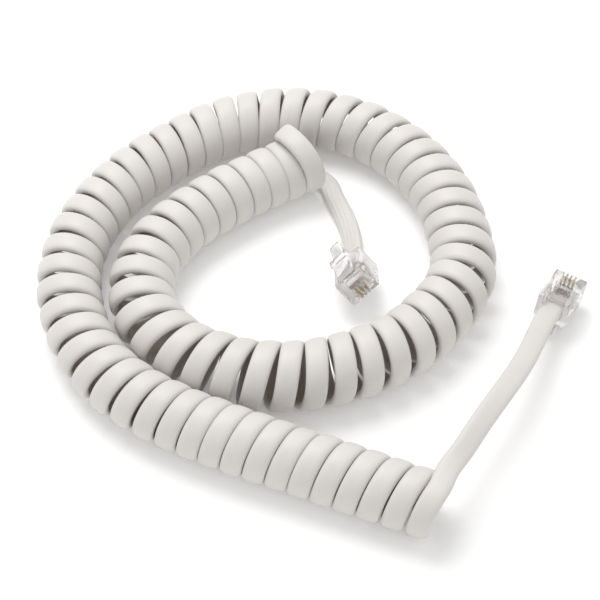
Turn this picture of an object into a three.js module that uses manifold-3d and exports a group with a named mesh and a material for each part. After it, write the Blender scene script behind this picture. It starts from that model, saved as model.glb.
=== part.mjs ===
// Coiled telephone handset cord: one flat four-core cord wound into a long curly spring and laid in a
// spiral loop on a table, with a straight lead and a clear 4P4C modular plug on each end.
// Units are millimetres and +Z is up. The cord lies on z = 0.

import * as THREE from 'three';
import { mergeVertices } from 'three/addons/utils/BufferGeometryUtils.js';
import Module from 'manifold-3d';

const wasm = await Module();
wasm.setup();

// ---------------------------------------------------------------- driving dimensions

// Flat cord
const CORD_WIDTH = 5;
const CORD_THICKNESS = 2.3;
const JACKET_CORNER = 0.7;            // corner cut of the flat jacket
const COIL_RADIUS = 7.5;              // outer radius of the curly part
const COIL_SIDES = 12;
const COIL_STEPS = 76;
const END_TURN = { radius: 7.9, length: 4.8, rise: 0.9, setback: 2.7 };  // loose last turn at the handset end
const LEAD_STEPS = 7;
const FACE_GAP = 0.3;                 // space left between cord solids that meet face to face

// Modular plug body: X across the plug, Y from the cord entry to the nose, Z from latch to contacts
const PLUG_WIDTH = 7.65;
const PLUG_LENGTH = 11.7;
const PLUG_HEIGHT = 6.6;
const NOSE_RADIUS = 0.7;
const ENTRY_HALF_WIDTH = 2.6;         // cord entry
const ENTRY_FLOOR = 1.6;
const ENTRY_ROOF = 4.4;
const ENTRY_DEPTH = 5.6;
const REAR_NOTCH = 1.8;               // the roof over the cord stops this far short of the rear
const CORE_HEIGHT = 3.0;              // height of the cord's middle plane and of the conductors

// Conductors and contacts
const CONTACT_PITCH = 1.02;
const CORE_COUNT = 4;
const CORE_RADIUS = 0.45;
const CORE_SIDES = 12;
const CORE_GAP = 0.15;                // conductor to jacket end
const CORE_END = 10.45;
const CHANNEL_HALF_WIDTH = 2.12;
const CHANNEL_CLEARANCE = 0.1;
const BLADE_THICKNESS = 0.35;
const SLOT_WIDTH = 0.62;
const SLOT_START = 8.0;
const SLOT_FLOOR = 4.4;
const SLOT_WELL_END = 10.65;

// Clamping bars
const JACKET_BAR = { start: 2.2, end: 4.5, foot: 4.25, top: 6.2, halfWidth: 2.35 };
const WIRE_BAR = { start: 6.1, end: 7.3, foot: 3.6, top: 6.0, halfWidth: 1.95 };
const BAR_GAP = 0.2;

// Latch lever, measured back from its hinge
const LATCH_HINGE = { y: 11.15, z: -0.55 };
const LATCH_THICKNESS = 0.85;
const LATCH_NOSE = 0.35;              // length ahead of the hinge
const LATCH_ROOT_HALF_WIDTH = 2.3;
const LATCH_SHOULDER_HALF_WIDTH = 2.6;
const LATCH_SHOULDER_START = 4.7;
const LATCH_SHOULDER_END = 6.6;
const LATCH_TAIL_HALF_WIDTH = 1.55;
const LATCH_LENGTH = 12.2;
const LATCH_STEP = 0.5;               // extra thickness of the locking shoulder
const HINGE_RECESS = 0.35;             // pocket in the nose, above the latch root

// Middle line of the curly part, from the base end to the handset end, at the height of its radius
const COIL_ROUTE = [
  [28.9, -56.9], [26.8, -56.1], [14.7, -51.3], [2.6, -46.4], [-9.6, -41.5], [-21.6, -36.2],
  [-33.1, -29.9], [-43.0, -21.4], [-49.7, -10.1], [-52.9, 2.6], [-52.2, 15.6], [-47.6, 27.9],
  [-40.2, 38.7], [-30.5, 47.5], [-19.4, 54.8], [-6.9, 58.5], [6.1, 57.9], [18.1, 52.6],
  [27.6, 43.6], [34.1, 32.2], [37.2, 19.5], [37.3, 6.4], [31.1, -5.2], [21.8, -14.4],
  [10.0, -20.2], [-2.9, -22.8], [-16.0, -20.9], [-27.6, -14.7], [-35.1, -4.0], [-35.5, 9.1],
  [-29.6, 20.6], [-20.2, 29.7], [-9.3, 37.2], [2.3, 43.4],
];

// Middle lines of the straight leads, from the coil to where they line up with the plug's entry
const BASE_LEAD_ROUTE = [
  [30.9, -51.7, 13.4], [33.5, -47.7, 13.3], [36.4, -42.8, 13.0], [41.1, -34.8, 12.4],
  [47.7, -23.8, 11.2], [51.4, -16.1, 9.9],
];
const HANDSET_LEAD_ROUTE = [
  [6.9, 41.2, 1.5], [8.2, 37.4, 1.4], [9.7, 33.5, 1.4], [11.0, 29.5, 1.5],
  [12.0, 25.3, 1.7], [12.6, 20.6, 2.2],
];
const LEAD_RUN_IN = 3.0;              // straight stretch of a lead behind its plug

// Where the plugs lie: rear lower edge of the body, then yaw, pitch and roll in degrees.
// The base plug rests on its latch, which its weight holds partly pressed.
const BASE_PLUG = { at: [56.6, -4.0, 4.18], yaw: -28, pitch: -15, roll: 3, latchAngle: 11.3 };
const HANDSET_PLUG = { at: [10.75, 13.4, 6.7], yaw: 180, pitch: 26, roll: -136, latchAngle: 15.3 };

// Moves the middle of the whole cord's outline over the origin
const CENTRING = [-2.94, -1.12, 0];

function placement(place) {
  const radians = THREE.MathUtils.degToRad;
  const turn = new THREE.Euler(radians(place.pitch), radians(place.roll), radians(place.yaw), 'ZXY');
  return new THREE.Matrix4().makeRotationFromEuler(turn).setPosition(...place.at);
}

// Point on the cord's middle line, a given distance behind the rear of a plug
function behindPlug(place, distance) {
  return new THREE.Vector3(0, -distance, CORE_HEIGHT).applyMatrix4(placement(place));
}

// ---------------------------------------------------------------- materials

const finishes = {
  cord: { color: 0xe4e0da, roughness: 0.5, metalness: 0 },
  clear: { color: 0xe9edee, roughness: 0.12, metalness: 0 },
  contact: { color: 0xc79a45, roughness: 0.25, metalness: 1 },
  black: { color: 0x1d1c1b, roughness: 0.5, metalness: 0 },
  red: { color: 0xb02a22, roughness: 0.5, metalness: 0 },
  green: { color: 0x2f7d43, roughness: 0.5, metalness: 0 },
  yellow: { color: 0xd9b52c, roughness: 0.5, metalness: 0 },
};

function part(name, geometry, finish) {
  const mesh = new THREE.Mesh(geometry, new THREE.MeshStandardMaterial(finishes[finish]));
  mesh.name = name;
  return mesh;
}

// ---------------------------------------------------------------- solids

function solid(geometry) {
  const bare = geometry.clone();
  bare.deleteAttribute('normal');
  bare.deleteAttribute('uv');
  const merged = mergeVertices(bare, 1e-5);
  return new wasm.Manifold(new wasm.Mesh({
    numProp: 3,
    vertProperties: new Float32Array(merged.attributes.position.array),
    triVerts: new Uint32Array(merged.index.array),
  }));
}

function geometryOf(manifold) {
  const mesh = manifold.getMesh();
  const geometry = new THREE.BufferGeometry();
  geometry.setAttribute('position', new THREE.BufferAttribute(new Float32Array(mesh.vertProperties), 3));
  geometry.setIndex(new THREE.BufferAttribute(new Uint32Array(mesh.triVerts), 1));
  return geometry;
}

function block(x0, x1, y0, y1, z0, z1) {
  const geometry = new THREE.BoxGeometry(x1 - x0, y1 - y0, z1 - z0);
  geometry.translate((x0 + x1) / 2, (y0 + y1) / 2, (z0 + z1) / 2);
  return geometry;
}

// Extrudes an outline drawn in the plug's Y-Z plane across X, centred on x = middle
function acrossPlug(outline, width, middle = 0) {
  const geometry = new THREE.ExtrudeGeometry(outline, { depth: width, bevelEnabled: false, curveSegments: 4 });
  geometry.applyMatrix4(new THREE.Matrix4().set(
    0, 0, 1, middle - width / 2,
    1, 0, 0, 0,
    0, 1, 0, 0,
    0, 0, 0, 1,
  ));
  return geometry;
}

// ---------------------------------------------------------------- cord

// Flat jacket section: thickness along X, width along Y, corners cut
function jacketSection() {
  const x = CORD_THICKNESS / 2;
  const y = CORD_WIDTH / 2;
  const c = JACKET_CORNER;
  return new THREE.Shape([
    [x, c - y], [x, y - c], [x - c, y], [c - x, y], [-x, y - c], [-x, c - y], [c - x, -y], [x - c, -y],
  ].map(([u, v]) => new THREE.Vector2(u, v)));
}

function coilCord() {
  const middle = COIL_ROUTE.map(([x, y]) => new THREE.Vector3(x, y, COIL_RADIUS));
  const axis = new THREE.CatmullRomCurve3(middle, false, 'centripetal');
  const section = new THREE.Shape();
  for (let i = 0; i < COIL_SIDES; i += 1) {
    const angle = (i / COIL_SIDES) * 2 * Math.PI;
    const point = [COIL_RADIUS * Math.cos(angle), COIL_RADIUS * Math.sin(angle)];
    if (i === 0) section.moveTo(...point);
    else section.lineTo(...point);
  }
  const coil = new THREE.ExtrudeGeometry(section, { steps: COIL_STEPS, extrudePath: axis });
  return geometryOf(solid(coil).add(solid(endTurn(axis))));
}

// The last turn, a little wider than the rest, standing up at the handset end
function endTurn(axis) {
  const along = axis.getTangent(1);
  const centre = axis.getPoint(1).addScaledVector(along, -END_TURN.setback);
  const turn = new THREE.CylinderGeometry(END_TURN.radius, END_TURN.radius, END_TURN.length, COIL_SIDES);
  const up = new THREE.Vector3(0, 0, 1);
  const across = new THREE.Vector3().crossVectors(up, along);
  turn.applyMatrix4(new THREE.Matrix4().makeBasis(across, along, new THREE.Vector3().crossVectors(across, along)));
  turn.translate(centre.x, centre.y, COIL_RADIUS + END_TURN.rise);
  return turn;
}

function lead(route, place) {
  const middle = route.map((point) => new THREE.Vector3(...point));
  middle.push(behindPlug(place, LEAD_RUN_IN), behindPlug(place, FACE_GAP));
  return new THREE.ExtrudeGeometry(jacketSection(), {
    steps: LEAD_STEPS,
    extrudePath: new THREE.CatmullRomCurve3(middle, false, 'centripetal'),
  });
}

// ---------------------------------------------------------------- plug

function coreOffset(index) {
  return (index - (CORE_COUNT - 1) / 2) * CONTACT_PITCH;
}

function plugBody() {
  const side = new THREE.Shape();
  side.moveTo(0, 0);
  side.lineTo(PLUG_LENGTH - NOSE_RADIUS, 0);
  side.lineTo(PLUG_LENGTH, NOSE_RADIUS);
  side.lineTo(PLUG_LENGTH, PLUG_HEIGHT - NOSE_RADIUS);
  side.absarc(PLUG_LENGTH - NOSE_RADIUS, PLUG_HEIGHT - NOSE_RADIUS, NOSE_RADIUS, 0, Math.PI / 2);
  side.lineTo(0, PLUG_HEIGHT);
  const above = PLUG_HEIGHT + 1;
  const w = ENTRY_HALF_WIDTH;
  const c = CHANNEL_HALF_WIDTH;
  const channel = CORE_RADIUS + CHANNEL_CLEARANCE;
  const bay = (bar) => block(
    -bar.halfWidth - BAR_GAP, bar.halfWidth + BAR_GAP,
    bar.start - BAR_GAP, bar.end + BAR_GAP,
    CORE_HEIGHT, above,
  );
  const cuts = [
    block(-w, w, -1, ENTRY_DEPTH, ENTRY_FLOOR, ENTRY_ROOF),
    block(-w, w, -1, REAR_NOTCH, ENTRY_FLOOR, above),
    block(-c, c, ENTRY_DEPTH - 0.5, SLOT_WELL_END, CORE_HEIGHT - channel, CORE_HEIGHT + channel),
    bay(JACKET_BAR),
    bay(WIRE_BAR),
    block(-LATCH_SHOULDER_HALF_WIDTH, LATCH_SHOULDER_HALF_WIDTH,
      LATCH_HINGE.y - 0.9, PLUG_LENGTH + 1, -1, HINGE_RECESS),
  ];
  for (let i = 0; i < CORE_COUNT; i += 1) {
    const x = coreOffset(i);
    cuts.push(block(x - SLOT_WIDTH / 2, x + SLOT_WIDTH / 2, SLOT_START, SLOT_WELL_END, CORE_HEIGHT, above));
    cuts.push(block(x - SLOT_WIDTH / 2, x + SLOT_WIDTH / 2, SLOT_START, PLUG_LENGTH + 1, SLOT_FLOOR, above));
  }
  let body = solid(acrossPlug(side, PLUG_WIDTH));
  for (const cut of cuts) body = body.subtract(solid(cut));
  return geometryOf(body);
}

// Gold blade: a rounded crown for the socket's wire and two teeth that bite into the conductor
function contactBlade(index) {
  const outline = new THREE.Shape();
  outline.moveTo(8.2, 4.3);
  outline.lineTo(8.35, 3.58);
  outline.lineTo(8.75, 3.58);
  outline.lineTo(9.0, 4.1);
  outline.lineTo(9.6, 4.1);
  outline.lineTo(9.85, 3.58);
  outline.lineTo(10.25, 3.58);
  outline.lineTo(10.4, 4.6);
  outline.lineTo(11.15, 4.6);
  outline.lineTo(11.15, 5.3);
  outline.absarc(10.5, 5.3, 0.65, 0, Math.PI / 2);
  outline.lineTo(8.5, 5.95);
  outline.lineTo(8.2, 5.65);
  return acrossPlug(outline, BLADE_THICKNESS, coreOffset(index));
}

function conductor(index) {
  const start = ENTRY_DEPTH - CORE_GAP;
  const geometry = new THREE.CylinderGeometry(CORE_RADIUS, CORE_RADIUS, CORE_END - start, CORE_SIDES);
  geometry.translate(coreOffset(index), (start + CORE_END) / 2, CORE_HEIGHT);
  return geometry;
}

function jacketEnd() {
  const geometry = new THREE.ExtrudeGeometry(jacketSection(), {
    depth: ENTRY_DEPTH - 2 * CORE_GAP,
    bevelEnabled: false,
  });
  geometry.applyMatrix4(new THREE.Matrix4().set(
    0, 1, 0, 0,
    0, 0, 1, 0,
    1, 0, 0, CORE_HEIGHT,
    0, 0, 0, 1,
  ));
  return geometry;
}

// Wedge bar pressed down through its bay in the contact side, highest at its nose edge
function clampBar(bar) {
  const outline = new THREE.Shape();
  outline.moveTo(bar.start, bar.foot + 0.7);
  outline.lineTo(bar.start + 0.6, bar.foot);
  outline.lineTo(bar.end, bar.foot);
  outline.lineTo(bar.end, bar.top);
  outline.lineTo(bar.end - 0.5, bar.top);
  return acrossPlug(outline, 2 * bar.halfWidth);
}

// Lever outline seen from below: X across the plug, distance from the hinge towards the tail
function latchLever(latchAngle) {
  const tip = 0.7;
  const half = [
    [LATCH_ROOT_HALF_WIDTH, -LATCH_NOSE],
    [LATCH_ROOT_HALF_WIDTH, LATCH_SHOULDER_START - 0.6],
    [LATCH_SHOULDER_HALF_WIDTH, LATCH_SHOULDER_START],
    [LATCH_SHOULDER_HALF_WIDTH, LATCH_SHOULDER_END],
    [LATCH_TAIL_HALF_WIDTH, LATCH_SHOULDER_END],
    [LATCH_TAIL_HALF_WIDTH, LATCH_LENGTH - tip],
    [LATCH_TAIL_HALF_WIDTH - tip, LATCH_LENGTH],
  ];
  const mirrored = half.slice().reverse().map(([x, d]) => [-x, d]);
  const plan = new THREE.Shape([...half, ...mirrored].map(([x, d]) => new THREE.Vector2(x, -d)));
  const plate = new THREE.ExtrudeGeometry(plan, { depth: LATCH_THICKNESS, bevelEnabled: false });
  plate.translate(0, 0, -LATCH_THICKNESS / 2);
  const step = block(
    -LATCH_SHOULDER_HALF_WIDTH, LATCH_SHOULDER_HALF_WIDTH,
    -LATCH_SHOULDER_END, -LATCH_SHOULDER_START,
    -LATCH_THICKNESS / 2 - LATCH_STEP, 0,
  );
  const geometry = geometryOf(solid(plate).add(solid(step)));
  geometry.rotateX(THREE.MathUtils.degToRad(latchAngle));
  geometry.translate(0, LATCH_HINGE.y, LATCH_HINGE.z);
  return geometry;
}

function plug(side, place) {
  const group = new THREE.Group();
  group.add(part(`${side}_plug_body`, plugBody(), 'clear'));
  group.add(part(`${side}_latch_lever`, latchLever(place.latchAngle), 'clear'));
  group.add(part(`${side}_jacket_clamp`, clampBar(JACKET_BAR), 'clear'));
  group.add(part(`${side}_wire_clamp`, clampBar(WIRE_BAR), 'clear'));
  group.add(part(`${side}_jacket_end`, jacketEnd(), 'cord'));
  ['black', 'red', 'green', 'yellow'].forEach((colour, index) => {
    group.add(part(`${side}_conductor_${colour}`, conductor(index), colour));
    group.add(part(`${side}_contact_${index + 1}`, contactBlade(index), 'contact'));
  });
  group.applyMatrix4(placement(place));
  return group;
}

// ---------------------------------------------------------------- assembly

const cord = new THREE.Group();
cord.add(part('coil_cord', coilCord(), 'cord'));
cord.add(part('base_lead', lead(BASE_LEAD_ROUTE, BASE_PLUG), 'cord'));
cord.add(part('handset_lead', lead(HANDSET_LEAD_ROUTE, HANDSET_PLUG), 'cord'));
cord.add(plug('base', BASE_PLUG));
cord.add(plug('handset', HANDSET_PLUG));
cord.position.set(...CENTRING);

export default cord;
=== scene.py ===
import math
import random

import bmesh
import bpy
import numpy as np
from mathutils import Matrix, Vector


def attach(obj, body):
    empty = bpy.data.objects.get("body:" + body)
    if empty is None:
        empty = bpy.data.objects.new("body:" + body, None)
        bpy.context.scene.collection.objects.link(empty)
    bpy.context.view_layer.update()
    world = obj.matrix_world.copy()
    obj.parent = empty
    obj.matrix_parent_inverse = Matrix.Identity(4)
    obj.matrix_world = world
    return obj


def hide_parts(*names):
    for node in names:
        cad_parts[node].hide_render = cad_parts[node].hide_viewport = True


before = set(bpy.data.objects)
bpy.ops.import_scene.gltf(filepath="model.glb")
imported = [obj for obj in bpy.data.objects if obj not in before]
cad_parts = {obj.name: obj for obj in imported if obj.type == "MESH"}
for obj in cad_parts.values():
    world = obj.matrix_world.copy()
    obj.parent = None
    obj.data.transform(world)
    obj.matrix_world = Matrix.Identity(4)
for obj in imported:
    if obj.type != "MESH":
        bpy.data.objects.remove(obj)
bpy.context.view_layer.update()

# Lengths are millimetres where no comment says metres. MM turns them into Blender's metres.
MM = 0.001
MICRON = 0.000001
FULL_TURN = 2 * math.pi
# The routes and the plugs are placed as in the CAD source, which then moves the whole object by this
CENTRING = np.array((-2.94, -1.12, 0.0))
UP = np.array((0.0, 0.0, 1.0))


def placed(name, data):
    """A new object in the scene."""
    made = bpy.data.objects.new(name, data)
    bpy.context.scene.collection.objects.link(made)
    return made


def aimed(name, data, place, toward):
    """A camera or lamp at a place, turned to look in a direction."""
    made = placed(name, data)
    made.location = place
    made.rotation_mode = "QUATERNION"
    made.rotation_quaternion = toward.to_track_quat("-Z", "Y")
    return made


# ---------------------------------------------------------------- camera

VIEW_HEIGHT = 7.0
VIEW_DISTANCE = 440.0
VIEW_ELEVATION = math.radians(50.0)
LENS = 115.5
SENSOR_WIDTH = 36.0
NEAREST = 0.01               # metres
FARTHEST = 20.0              # metres

camera_data = bpy.data.cameras.new("camera")
camera_data.lens = LENS
camera_data.sensor_width = SENSOR_WIDTH
camera_data.clip_start = NEAREST
camera_data.clip_end = FARTHEST
back = Vector((0.0, -math.cos(VIEW_ELEVATION), math.sin(VIEW_ELEVATION)))
view_target = Vector(CENTRING + VIEW_HEIGHT * UP) * MM
camera = aimed("camera", camera_data, view_target + back * (VIEW_DISTANCE * MM), -back)
bpy.context.scene.camera = camera


# ---------------------------------------------------------------- curves

def spline(knots, values):
    """Natural cubic spline through the values, as a function of the knot parameter."""
    x = np.asarray(knots, float)
    y = np.asarray(values, float).reshape(len(x), -1)
    step = np.diff(x)
    count = len(x)
    rows = np.eye(count)
    right = np.zeros_like(y)
    for i in range(1, count - 1):
        rows[i, i - 1 : i + 2] = step[i - 1], 2 * (step[i - 1] + step[i]), step[i]
        right[i] = 6 * ((y[i + 1] - y[i]) / step[i] - (y[i] - y[i - 1]) / step[i - 1])
    bend = np.linalg.solve(rows, right)

    def at(t):
        t = np.atleast_1d(np.asarray(t, float))
        k = np.clip(np.searchsorted(x, t) - 1, 0, count - 2)
        past = (t - x[k])[:, None]
        span = step[k][:, None]
        ahead = span - past
        return (
            (bend[k] * ahead**3 + bend[k + 1] * past**3) / (6 * span)
            + (y[k] / span - bend[k] * span / 6) * ahead
            + (y[k + 1] / span - bend[k + 1] * span / 6) * past
        )

    return at


def chords(points):
    """Length walked from the first point to each of the points."""
    return np.concatenate([[0.0], np.cumsum(np.linalg.norm(np.diff(points, axis=0), axis=1))])


def unit(v):
    return v / np.linalg.norm(v, axis=-1, keepdims=True)


def hump(at, top, before, after):
    """1 at the top, falling off smoothly over a width before it and another after it."""
    width = np.where(at < top, before, after)
    return np.exp(-(((at - top) / width) ** 2))


def eased(f):
    """0 to 1 with a soft start and end, held outside."""
    f = np.clip(f, 0.0, 1.0)
    return f * f * (3 - 2 * f)


# ---------------------------------------------------------------- the cord's route

CORD_WIDTH = 5.0
CORD_THICKNESS = 2.3
ROUNDNESS = 2.9              # power of the superellipse that the flat jacket's section is
SECTION_POINTS = 26
OUTLINE_POINTS = 1440        # points on the fine outline that the section's points are spaced along
OUTLINE_START = 1e-4         # radians, a little off the axis

# Middle line of the coil on the table, from the base end to the handset end, written in metres
COIL_ROUTE = np.array([
    (0.0289, -0.0569), (0.0268, -0.0561), (0.0147, -0.0513), (0.0026, -0.0464), (-0.0096, -0.0415),
    (-0.0216, -0.0362), (-0.0331, -0.0299), (-0.0430, -0.0214), (-0.0497, -0.0101), (-0.0529, 0.0026),
    (-0.0522, 0.0156), (-0.0476, 0.0279), (-0.0402, 0.0387), (-0.0305, 0.0475), (-0.0194, 0.0548),
    (-0.0069, 0.0585), (0.0061, 0.0579), (0.0181, 0.0526), (0.0276, 0.0436), (0.0341, 0.0322),
    (0.0372, 0.0195), (0.0373, 0.0064), (0.0311, -0.0052), (0.0218, -0.0144), (0.0100, -0.0202),
    (-0.0029, -0.0228), (-0.0160, -0.0209), (-0.0276, -0.0147), (-0.0351, -0.0040), (-0.0355, 0.0091),
    (-0.0296, 0.0206), (-0.0202, 0.0297), (-0.0093, 0.0372), (0.0023, 0.0434),
]) / MM
AXIS_STEP = 0.25             # between the places worked out along that line
AXIS_RUN_OUT = 6.0           # how far it goes straight on past its last point
AXIS_LAST_BIT = 0.5          # length at its end that gives the direction of that

# Turns counted from the base end, and how far along the middle line the top of each of them is
TURN_COUNT = (
    0, 4, 8, 12, 16, 20, 24, 28, 32, 36, 40, 44, 48, 52, 56, 60, 62, 64, 66, 68, 70, 72, 73, 73.25, 73.5,
)
TURN_PLACE = (
    0.4, 21.8, 42.6, 63.4, 86.1, 110.4, 134.5, 157.5, 179.9, 203.3, 227.3, 251.0, 275.6, 299.2, 322.7,
    347.1, 359.8, 372.2, 384.5, 395.7, 406.6, 416.8, 421.4, 422.5, 424.7,
)
LAST_TURN = TURN_COUNT[-1]
RINGS_PER_TURN = 40

# How far the top and the left side of a turn stand ahead of its middle, and the underside of every turn
LEAN_TURN = (0, 8, 16, 24, 32, 44, 50, 57, 60, 64, 67, 72, 73.5)
LEAN_TOP = (-0.1, -0.1, -0.2, -0.3, 0.0, 0.2, 0.2, 0.0, 0.0, 0.1, 0.0, -0.5, -0.6)
LEAN_SIDE = (0.5, 0.3, -0.1, 0.0, 0.35, 0.15, -0.1, 0.4, 0.35, -0.7, -1.1, -1.1, -0.9)
LEAN_BOTTOM = 0.9
LEAN_BOTTOM_SPREAD = 0.9     # radians to each side of the bottom

# Outer radius of the coil: the inner loop has opened a little
RADIUS_PLACE = (0, 40, 140, 170, 225, 265, 325, 355, 375, 425)
RADIUS = (7.3, 7.4, 7.45, 7.35, 7.4, 7.85, 7.95, 7.8, 7.6, 7.3)

# Small unevenness from turn to turn, as a size and a seed
PLACE_WOBBLE = (0.07, 11)
RADIUS_WOBBLE = (0.10, 5)
# Turns at each end of the coil over which the radius's unevenness and the underside's lean come in
FADE_TURNS = 2.0

# The last turn opens out, leans back and tips over. Each of these humps has its top, and the widths over
# which it grows and falls, in degrees past the top of turn 73.
OPENING_TURN = 73.0
OPENS_OUT = 2.1
OPENS_OUT_HUMP = (27.0, 125.0, 34.0)
LEANS_BACK = 2.3
LEANS_BACK_HUMP = (30.0, 68.0, 30.0)
TIPS_OVER = math.radians(24.0)
TIPS_OVER_HUMP = (50.0, 60.0, 40.0)

# The last turns also stand off the table: a slight rise, and a hump that ends just before the lead
SLIGHT_RISE = 0.2
SLIGHT_RISE_FROM = 70.5
SLIGHT_RISE_TURNS = 1.5
LAST_RISE = 1.2
LAST_RISE_FROM = 72.1
LAST_RISE_TO = 73.48
LAST_RISE_TURNS = 0.4

# Middle lines of the straight leads, from the coil to behind the plugs, written in metres
BASE_LEAD_ROUTE = np.array([
    (0.0309, -0.0517, 0.0134), (0.0335, -0.0477, 0.0133), (0.0364, -0.0428, 0.0130),
    (0.0411, -0.0348, 0.0124), (0.0477, -0.0238, 0.0112), (0.0514, -0.0161, 0.0099),
]) / MM
HANDSET_LEAD_ROUTE = np.array([
    (0.0069, 0.0412, 0.0015), (0.0082, 0.0374, 0.0014), (0.0097, 0.0335, 0.0014),
    (0.0110, 0.0295, 0.0015), (0.0120, 0.0253, 0.0017), (0.0126, 0.0206, 0.0022),
]) / MM
LEAD_STEP = 0.6
# Turns of the coil that a lead's curve runs on into, so that the two join smoothly
JOINING_TURNS = np.array((0.0, 0.035, 0.07))
# Each lead's route, the turns that it joins, and which way round its width goes
LEADS = {
    "base": (BASE_LEAD_ROUTE, JOINING_TURNS, 1.0),
    "handset": (HANDSET_LEAD_ROUTE, LAST_TURN - JOINING_TURNS, -1.0),
}
# Extra twist of the base lead near the coil, and its hump in millimetres from the coil
BASE_TWIST = 0.55
BASE_TWIST_HUMP = (14.0, 7.0, 16.0)

CORE_HEIGHT = 3.0            # of the cord's middle above a plug's latch side
JACKET_END = 5.45            # how far the jacket reaches into a plug
# Places along a plug that its lead runs through, from the jacket's end to a little behind the plug
JACKET_RUN = (JACKET_END, 3.6, 1.8, 0.0, -3.0)


def plug_matrix(at, yaw, pitch, roll):
    turned = (
        Matrix.Rotation(math.radians(yaw), 4, "Z")
        @ Matrix.Rotation(math.radians(pitch), 4, "X")
        @ Matrix.Rotation(math.radians(roll), 4, "Y")
    )
    return Matrix.Translation(Vector(at)) @ turned


# Plug frames: X across the plug, Y from the cord entry to the nose, Z from latch to contacts
PLUGS = {
    "base": plug_matrix(at=(56.6, -4.0, 4.18), yaw=-28, pitch=-15, roll=3),
    "handset": plug_matrix(at=(10.75, 13.4, 6.7), yaw=180, pitch=26, roll=-136),
}


def in_plug(side, x, y, z):
    """A point of a plug's own frame, before the centring."""
    return np.array(PLUGS[side] @ Vector((x, y, z)))


def across_plug(side):
    return np.array(PLUGS[side].to_3x3() @ Vector((1, 0, 0)))


def coil_axis():
    """Lengths walked, places and directions along the coil's middle line."""
    knots = chords(COIL_ROUTE)
    whole = knots[-1]
    curve = spline(knots, COIL_ROUTE)
    t = np.arange(0.0, whole + AXIS_RUN_OUT, AXIS_STEP)
    line = curve(np.minimum(t, whole))
    onward = unit(curve(whole) - curve(whole - AXIS_LAST_BIT))
    line = line + onward * np.maximum(t - whole, 0.0)[:, None]
    return chords(line), line, unit(np.gradient(line, axis=0))


def wobble(turn, size, seed):
    """Smooth small change from turn to turn."""
    rng = random.Random(seed)
    values = np.array([rng.uniform(-size, size) for _ in range(int(LAST_TURN) + 3)])
    k = np.floor(turn).astype(int)
    f = eased(turn - k)
    return values[k] * (1 - f) + values[k + 1] * f


def level(at, places, values):
    """Vectors in the plane of the table, read off at the given places."""
    return np.stack([np.interp(at, places, values[:, k]) for k in (0, 1)] + [np.zeros_like(at)], axis=1)


def last_turn_rise(turn):
    """How far the turns near the handset lead stand off the table."""
    slight = SLIGHT_RISE * eased((turn - SLIGHT_RISE_FROM) / SLIGHT_RISE_TURNS)
    grows = eased((turn - LAST_RISE_FROM) / LAST_RISE_TURNS)
    falls = eased((LAST_RISE_TO - turn) / LAST_RISE_TURNS)
    return slight + LAST_RISE * grows * falls


def coil_line(turn):
    """Middle of the flat cord and the direction of its width, for an array of turn numbers."""
    places, line, heading = coil_axis()
    s = spline(TURN_COUNT, TURN_PLACE)(turn)[:, 0] + wobble(turn, *PLACE_WOBBLE)
    ahead = unit(level(s, places, heading))
    left = np.cross(UP, ahead)
    angle = turn * FULL_TURN
    outward = np.cos(angle)[:, None] * UP + np.sin(angle)[:, None] * left
    fade = np.clip(np.minimum(turn, LAST_TURN - turn) / FADE_TURNS, 0.0, 1.0)
    past_top = (turn - OPENING_TURN) * 360.0

    radius = np.interp(s, RADIUS_PLACE, RADIUS)
    reach = radius - CORD_THICKNESS / 2 + wobble(turn, *RADIUS_WOBBLE) * fade
    reach = reach + OPENS_OUT * hump(past_top, *OPENS_OUT_HUMP)

    at_bottom = hump(np.mod(angle, FULL_TURN), math.pi, LEAN_BOTTOM_SPREAD, LEAN_BOTTOM_SPREAD)
    lean = np.interp(turn, LEAN_TURN, LEAN_TOP) * np.cos(angle)
    lean = lean + np.interp(turn, LEAN_TURN, LEAN_SIDE) * np.sin(angle)
    lean = lean + LEAN_BOTTOM * at_bottom * fade
    lean = lean - LEANS_BACK * hump(past_top, *LEANS_BACK_HUMP)

    tilt = TIPS_OVER * hump(past_top, *TIPS_OVER_HUMP)
    width = -np.cos(tilt)[:, None] * ahead - np.sin(tilt)[:, None] * outward
    centre = level(s, places, line) + (radius + last_turn_rise(turn))[:, None] * UP
    return centre + reach[:, None] * outward + lean[:, None] * ahead, width


def lead_line(side):
    """Middle of a straight lead, from the plug's jacket end to the coil, and its width directions."""
    route, joining, sign = LEADS[side]
    inside = [in_plug(side, 0, y, CORE_HEIGHT) for y in JACKET_RUN]
    joined, width = coil_line(joining)
    points = np.array(inside + list(route[::-1]) + list(joined))
    knots = chords(points)
    start = knots[len(inside) - 1]
    end = knots[-len(joined)]
    t = np.linspace(0.0, end, int(end / LEAD_STEP) + 1)[:-1]
    f = eased((t - start) / (end - start))[:, None]
    turned = (1 - f) * sign * across_plug(side) + f * width[0]
    if side == "base":
        turned = turned - BASE_TWIST * hump(end - t, *BASE_TWIST_HUMP)[:, None] * UP
    return spline(knots, points)(t), unit(turned)


def whole_line():
    """Middle of the whole cord from the base plug to the handset plug, and its width directions."""
    first, first_width = lead_line("base")
    last, last_width = lead_line("handset")
    turn = np.linspace(0.0, LAST_TURN, int(LAST_TURN * RINGS_PER_TURN) + 1)
    coil, coil_width = coil_line(turn)
    line = np.concatenate([first, coil, last[::-1]])
    width = np.concatenate([first_width, coil_width, last_width[::-1]])
    return line + CENTRING, width


def closed(section):
    """The points of a closed outline, with the first one again at the end."""
    return np.vstack([section, section[:1]])


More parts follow.
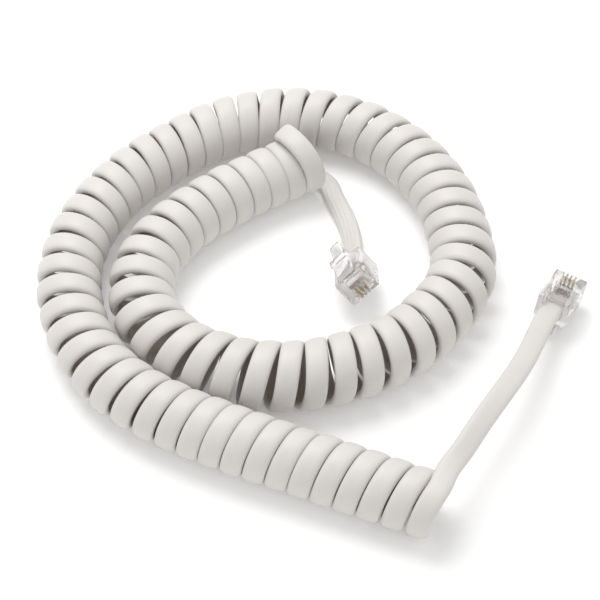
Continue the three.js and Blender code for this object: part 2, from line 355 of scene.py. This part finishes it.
def cord_section():
    """Points round the flat jacket (across, through): broad faces a little crowned, edges rounded."""
    a = np.linspace(0.0, FULL_TURN, OUTLINE_POINTS, endpoint=False) + OUTLINE_START
    c, d = np.cos(a), np.sin(a)
    fine = np.stack([
        CORD_WIDTH / 2 * np.sign(c) * np.abs(c) ** (2 / ROUNDNESS),
        CORD_THICKNESS / 2 * np.sign(d) * np.abs(d) ** (2 / ROUNDNESS),
    ], axis=1)
    walked = chords(closed(fine))
    at = np.linspace(0.0, walked[-1], SECTION_POINTS, endpoint=False)
    return np.stack([np.interp(at, walked[:-1], fine[:, k]) for k in (0, 1)], axis=1)


def swept(name, line, width, section):
    """Closed tube of a fixed section along a line, with its width held to the given directions.

    Its UV map has the place round the section, 0 to 1, and the metres walked along the line.
    """
    ahead = unit(np.gradient(line, axis=0))
    across = unit(width - (width * ahead).sum(1)[:, None] * ahead)
    through = np.cross(ahead, across)
    rings, sides = len(line), len(section)
    points = (
        line[:, None, :]
        + across[:, None, :] * section[None, :, 0, None]
        + through[:, None, :] * section[None, :, 1, None]
    ).reshape(-1, 3) * MM
    ring = np.arange(rings - 1)[:, None, None] + np.array((0, 0, 1, 1))
    side = np.arange(sides)[None, :, None] + np.array((0, 1, 1, 0))
    quads = ring * sides + side % sides
    first_end = list(range(sides))[::-1]
    last_end = list(range((rings - 1) * sides, rings * sides))
    faces = quads.reshape(-1, 4).tolist() + [first_end, last_end]
    mesh = bpy.data.meshes.new(name)
    mesh.from_pydata(points.tolist(), [], faces)

    around = chords(closed(section))
    along = chords(line) * MM
    data = np.zeros((len(mesh.loops), 2), np.float32)
    data[: quads.size, 0] = np.broadcast_to((around / around[-1])[side], quads.shape).reshape(-1)
    data[: quads.size, 1] = np.broadcast_to(along[ring], quads.shape).reshape(-1)
    mesh.uv_layers.new(name="cord").data.foreach_set("uv", data.reshape(-1))
    mesh.polygons.foreach_set("use_smooth", [True] * (len(faces) - 2) + [False] * 2)
    mesh.update()
    return placed(name, mesh)


# ---------------------------------------------------------------- materials

# Off-white jacket, and painted shade: a warmer darker colour on the face that is inside the coil, where shade
# falls between the turns
JACKET = (0.68, 0.655, 0.626)
JACKET_PALE = (0.713, 0.688, 0.659)
JACKET_DARK = (0.645, 0.621, 0.592)
# Painted shade: the colour given to the face inside the coil, where shade falls between the turns
JACKET_PAINTED_SHADE = (0.47, 0.42, 0.365)
PAINTED_SHADE_MIDDLE = 0.75            # place of its middle round the section
PAINTED_SHADE_EDGE = (0.12, 0.21)
# Metres of cord from the base plug: where the painted shade on the inner face ends in the last turn, and
# where the handset lead's fine ribs grow strong
PAINTED_SHADE_ENDS = (3.02, 3.04)
RIBS_BEGIN = (3.050, 3.062)
RIBS_ROUND = 13
FAINT_RIBS = 0.15            # strength of the ribs before that

CLEAR_PLASTIC = (0.985, 0.968, 0.966)
GOLD_PLATE = (0.80, 0.60, 0.27)
GOLD_PALE = (0.90, 0.76, 0.42)
GOLD_DARK = (0.74, 0.58, 0.27)
CORE_COLORS = {
    "black": (0.035, 0.033, 0.032),
    "red": (0.42, 0.045, 0.03),
    "green": (0.05, 0.21, 0.08),
    "yellow": (0.66, 0.45, 0.06),
}
STREAK_SHADE = 0.7           # colour of the streaks as a share of the insulation's


def shader(name, color, roughness, **sockets):
    """A material with its Principled node, in plain values that patterns can later take the place of."""
    material = bpy.data.materials.new(name)
    material.use_nodes = True
    base = material.node_tree.nodes["Principled BSDF"]
    base.inputs["Base Color"].default_value = (*color, 1.0)
    base.inputs["Roughness"].default_value = roughness
    for socket, value in sockets.items():
        base.inputs[socket.replace("_", " ")].default_value = value
    return material, base


def add(material, kind, **inputs):
    node = material.node_tree.nodes.new(kind)
    for name, value in inputs.items():
        node.inputs[name.replace("_", " ")].default_value = value
    return node


def feed(material, value, target):
    """Give an input another node's output, a colour or a number."""
    if isinstance(value, bpy.types.NodeSocket):
        material.node_tree.links.new(value, target)
    elif isinstance(value, tuple):
        target.default_value = (*value, 1.0)
    else:
        target.default_value = value


def noise(material, source, scale, detail, stretch=(1.0, 1.0, 1.0)):
    mapping = add(material, "ShaderNodeMapping", Scale=stretch)
    feed(material, source, mapping.inputs["Vector"])
    texture = add(material, "ShaderNodeTexNoise", Scale=scale, Detail=detail)
    feed(material, mapping.outputs["Vector"], texture.inputs["Vector"])
    return texture.outputs["Fac"]


def spread(material, value, low, high, over=(0.0, 1.0)):
    """The value over a range, carried to low at its start and high at its end, and held past them."""
    ramp = add(material, "ShaderNodeMapRange", From_Min=over[0], From_Max=over[1], To_Min=low, To_Max=high)
    feed(material, value, ramp.inputs["Value"])
    return ramp.outputs["Result"]


def math_node(material, operation, *values):
    node = add(material, "ShaderNodeMath")
    node.operation = operation
    for value, target in zip(values, node.inputs):
        feed(material, value, target)
    return node.outputs["Value"]


def blend(material, factor, first, second):
    """Mix of two colours or outputs."""
    mix = add(material, "ShaderNodeMix")
    mix.data_type = "RGBA"
    first_input, second_input = [socket for socket in mix.inputs if socket.type == "RGBA"]
    feed(material, factor, mix.inputs[0])
    feed(material, first, first_input)
    feed(material, second, second_input)
    return next(socket for socket in mix.outputs if socket.type == "RGBA")


def bump(material, base, height, microns, strength, under=None):
    """Relief on the surface, on top of another relief where one is given."""
    node = add(material, "ShaderNodeBump", Distance=microns * MICRON)
    feed(material, strength, node.inputs["Strength"])
    feed(material, height, node.inputs["Height"])
    if under is not None:
        feed(material, under, node.inputs["Normal"])
    feed(material, node.outputs["Normal"], base.inputs["Normal"])
    return node.outputs["Normal"]


def object_place(material):
    return add(material, "ShaderNodeTexCoord").outputs["Object"]


def cord_material():
    """Off-white flexible PVC: soft mottling, painted shade on the face inside the coil, die lines, and ribs
    along the lead.
    """
    material, base = shader("cord_jacket", JACKET, roughness=0.48)
    place = object_place(material)
    map_node = add(material, "ShaderNodeUVMap")
    map_node.uv_map = "cord"
    uv = map_node.outputs["UV"]
    split = add(material, "ShaderNodeSeparateXYZ")
    feed(material, uv, split.inputs["Vector"])
    around, along = split.outputs["X"], split.outputs["Y"]

    mottled = noise(material, place, scale=90.0, detail=4.0)
    outside = blend(material, mottled, JACKET_PALE, JACKET_DARK)
    # Painted shade: the face inside the coil is made darker and warmer where shade falls between the turns,
    # up to the handset lead
    off_middle = math_node(material, "ABSOLUTE", math_node(material, "SUBTRACT", around, PAINTED_SHADE_MIDDLE))
    on_painted_shade_face = spread(material, off_middle, low=1.0, high=0.0, over=PAINTED_SHADE_EDGE)
    painted_shade_in_coil = spread(material, along, low=1.0, high=0.0, over=PAINTED_SHADE_ENDS)
    inside = math_node(material, "MULTIPLY", on_painted_shade_face, painted_shade_in_coil)
    feed(material, blend(material, inside, outside, JACKET_PAINTED_SHADE), base.inputs["Base Color"])

    worn = noise(material, place, scale=260.0, detail=3.0)
    feed(material, spread(material, worn, low=0.38, high=0.60), base.inputs["Roughness"])

    wave = math_node(material, "COSINE", math_node(material, "MULTIPLY", around, RIBS_ROUND * FULL_TURN))
    firmness = spread(material, along, low=FAINT_RIBS, high=1.0, over=RIBS_BEGIN)
    lines = noise(material, uv, scale=1.0, detail=2.0, stretch=(70.0, 4.0, 1.0))
    grain = noise(material, place, scale=3500.0, detail=2.0)
    ribs = bump(material, base, wave, microns=35, strength=firmness)
    drawn = bump(material, base, lines, microns=20, strength=0.8, under=ribs)
    bump(material, base, grain, microns=8, strength=0.6, under=drawn)
    return material


def clear_material(name, transmission, ior):
    """Clear polycarbonate with a slight cast, flow lines and fine handling marks."""
    material, base = shader(name, CLEAR_PLASTIC, roughness=0.06, Transmission_Weight=transmission, IOR=ior)
    place = object_place(material)
    smudge = noise(material, place, scale=420.0, detail=3.0)
    feed(material, spread(material, smudge, low=0.03, high=0.12), base.inputs["Roughness"])
    flow = noise(material, place, scale=260.0, detail=2.0)
    bump(material, base, flow, microns=10, strength=0.5)
    return material


def gold_material():
    """Gold-plated contact blade with fine rubbing marks."""
    material, base = shader("gold_contact", GOLD_PLATE, roughness=0.24, Metallic=1.0)
    place = object_place(material)
    marks = noise(material, place, scale=2400.0, detail=3.0, stretch=(1.0, 0.2, 1.0))
    feed(material, spread(material, marks, low=0.16, high=0.36), base.inputs["Roughness"])
    tone = noise(material, place, scale=900.0, detail=2.0)
    feed(material, blend(material, tone, GOLD_PALE, GOLD_DARK), base.inputs["Base Color"])
    bump(material, base, marks, microns=6, strength=0.6)
    return material


def insulation_material(name, color):
    """Coloured conductor insulation, slightly streaked."""
    material, base = shader(name, color, roughness=0.42)
    streak = noise(material, object_place(material), scale=1500.0, detail=3.0)
    darker = tuple(part * STREAK_SHADE for part in color)
    feed(material, blend(material, streak, color, darker), base.inputs["Base Color"])
    feed(material, spread(material, streak, low=0.34, high=0.50), base.inputs["Roughness"])
    bump(material, base, streak, microns=10, strength=0.6)
    return material


CORD = cord_material()
CLEAR = clear_material("clear_plug", transmission=0.82, ior=1.30)
# The clamp bars are clearer, so that the conductors show through them
CLEAR_INSIDE = clear_material("clear_plug_inside", transmission=0.96, ior=1.08)
GOLD = gold_material()
INSULATION = {core: insulation_material(f"{core}_insulation", color) for core, color in CORE_COLORS.items()}


# ---------------------------------------------------------------- plugs

WELD = 1e-7                  # metres within which two corners of a solid are one
FLAT = math.radians(1.0)     # faces that meet at less than this become one face
SHARP = math.radians(20)     # edges that turn more than this are rounded
CREASE = math.radians(35)    # edges that turn more than this aren't shaded smooth
ROUNDING_STEPS = 2
BODY_EDGE = 0.12             # how far back the edges of the body and the latch are rounded
BAR_EDGE = 0.08
BLADE_EDGE = 0.05

CORE_PITCH = 1.02            # spacing of the conductors, as of the contacts
CORE_CROWDING = 0.93         # how much closer than that they leave the jacket
CORE_RADIUS = 0.43
CORE_OVERLAP = 0.35          # how far into the jacket they start
CORE_END = 10.4              # how far they reach into the plug
CORE_SPREADING = 2.0         # length over which they come to their full spacing
CORE_WAVE = 0.04             # height of their slight waves
CORE_WAVE_RATE = 2.1         # radians of wave for each millimetre
CORE_POINTS = 22
CORE_SIDES = 20


def moulded(name, node, edge, material, body):
    """A CAD solid again, with its flat faces made whole and its edges rounded."""
    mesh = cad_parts[node].data.copy()
    mesh.name = name
    mesh.materials.clear()
    work = bmesh.new()
    work.from_mesh(mesh)
    bmesh.ops.remove_doubles(work, verts=work.verts, dist=WELD)
    bmesh.ops.dissolve_limit(work, angle_limit=FLAT, verts=work.verts, edges=work.edges, delimit=set())
    sharp = [e for e in work.edges if len(e.link_faces) == 2 and e.calc_face_angle(0.0) > SHARP]
    bmesh.ops.bevel(
        work, geom=sharp, offset=edge * MM, offset_type="OFFSET", segments=ROUNDING_STEPS, profile=0.5,
        affect="EDGES", clamp_overlap=True,
    )
    bmesh.ops.recalc_face_normals(work, faces=work.faces)
    work.to_mesh(mesh)
    work.free()
    mesh.polygons.foreach_set("use_smooth", [True] * len(mesh.polygons))
    mesh.set_sharp_from_angle(angle=CREASE)
    mesh.materials.append(material)
    piece = placed(name, mesh)
    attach(piece, body)
    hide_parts(node)
    return piece


def conductor(side, index, color):
    """Insulated conductor from the jacket's end to under its contact."""
    x = (index - (len(CORE_COLORS) - 1) / 2) * CORE_PITCH
    crowded = x * CORE_CROWDING
    y = np.linspace(JACKET_END - CORE_OVERLAP, CORE_END, CORE_POINTS)
    f = eased((y - JACKET_END) / CORE_SPREADING)
    z = CORE_HEIGHT + CORE_WAVE * np.sin(y * CORE_WAVE_RATE + index)
    line = np.stack([crowded + (x - crowded) * f, y, z], axis=1)
    line = np.array([in_plug(side, *point) for point in line]) + CENTRING
    width = np.repeat(across_plug(side)[None, :], len(line), axis=0)
    angles = np.linspace(0, FULL_TURN, CORE_SIDES, endpoint=False)
    section = CORE_RADIUS * np.stack([np.cos(angles), np.sin(angles)], axis=1)
    piece = swept(f"{side}_{color}_wire", line, width, section)
    piece.data.materials.append(INSULATION[color])
    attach(piece, "cord_and_plugs")
    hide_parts(f"{side}_conductor_{color}")
    return piece


def make_plug(side):
    """One plug: its shell, latch and two clamp bars, and a conductor and a blade for each core."""
    made = [
        moulded(f"{side}_plug_shell", f"{side}_plug_body", BODY_EDGE, CLEAR, "cord_and_plugs"),
        moulded(f"{side}_latch", f"{side}_latch_lever", BODY_EDGE, CLEAR, f"{side}_latch"),
    ]
    for bar in ("jacket", "wire"):
        made.append(moulded(
            f"{side}_{bar}_bar", f"{side}_{bar}_clamp",
            BAR_EDGE, CLEAR_INSIDE, "cord_and_plugs",
        ))
    for index, color in enumerate(CORE_COLORS):
        blade = index + 1
        made.append(conductor(side, index, color))
        made.append(moulded(
            f"{side}_blade_{blade}", f"{side}_contact_{blade}",
            BLADE_EDGE, GOLD, "cord_and_plugs",
        ))
    return made


# ---------------------------------------------------------------- the cord

line, width = whole_line()
cord = swept("handset_cord", line, width, cord_section())
cord.data.materials.append(CORD)
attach(cord, "cord_and_plugs")
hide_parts("coil_cord", "base_lead", "handset_lead", "base_jacket_end", "handset_jacket_end")

make_plug("base")
handset_plug = make_plug("handset")


# ---------------------------------------------------------------- floor and light

FLOOR_HALF_WIDTH = 3.0       # metres
FLOOR_COLOR = (0.95, 0.95, 0.95)
FLOOR_GLOW = 0.12
WHITE = (1.0, 1.0, 1.0, 1.0)
SKY_STRENGTH = 0.735
KEY_PLACE = Vector((-0.15, 0.27, 0.62))    # metres
KEY_SIZE = 0.50              # metres
KEY_POWER = 2.75

corners = [(x * FLOOR_HALF_WIDTH, y * FLOOR_HALF_WIDTH, 0.0) for x, y in ((-1, -1), (1, -1), (1, 1), (-1, 1))]
floor_mesh = bpy.data.meshes.new("floor")
floor_mesh.from_pydata(corners, [], [(0, 1, 2, 3)])
floor_material, _ = shader(
    "floor", FLOOR_COLOR, roughness=0.9,
    Specular_IOR_Level=0.1, Emission_Color=WHITE, Emission_Strength=FLOOR_GLOW,
)
floor_mesh.materials.append(floor_material)
placed("floor", floor_mesh)

world = bpy.data.worlds.new("studio")
world.use_nodes = True
sky = world.node_tree.nodes["Background"]
sky.inputs["Color"].default_value = WHITE
sky.inputs["Strength"].default_value = SKY_STRENGTH
bpy.context.scene.world = world

key = bpy.data.lights.new("key", "AREA")
key.shape = "DISK"
key.size = KEY_SIZE
key.energy = KEY_POWER
aimed("key", key, KEY_PLACE, -KEY_PLACE)

bpy.context.scene.view_settings.view_transform = "Standard"
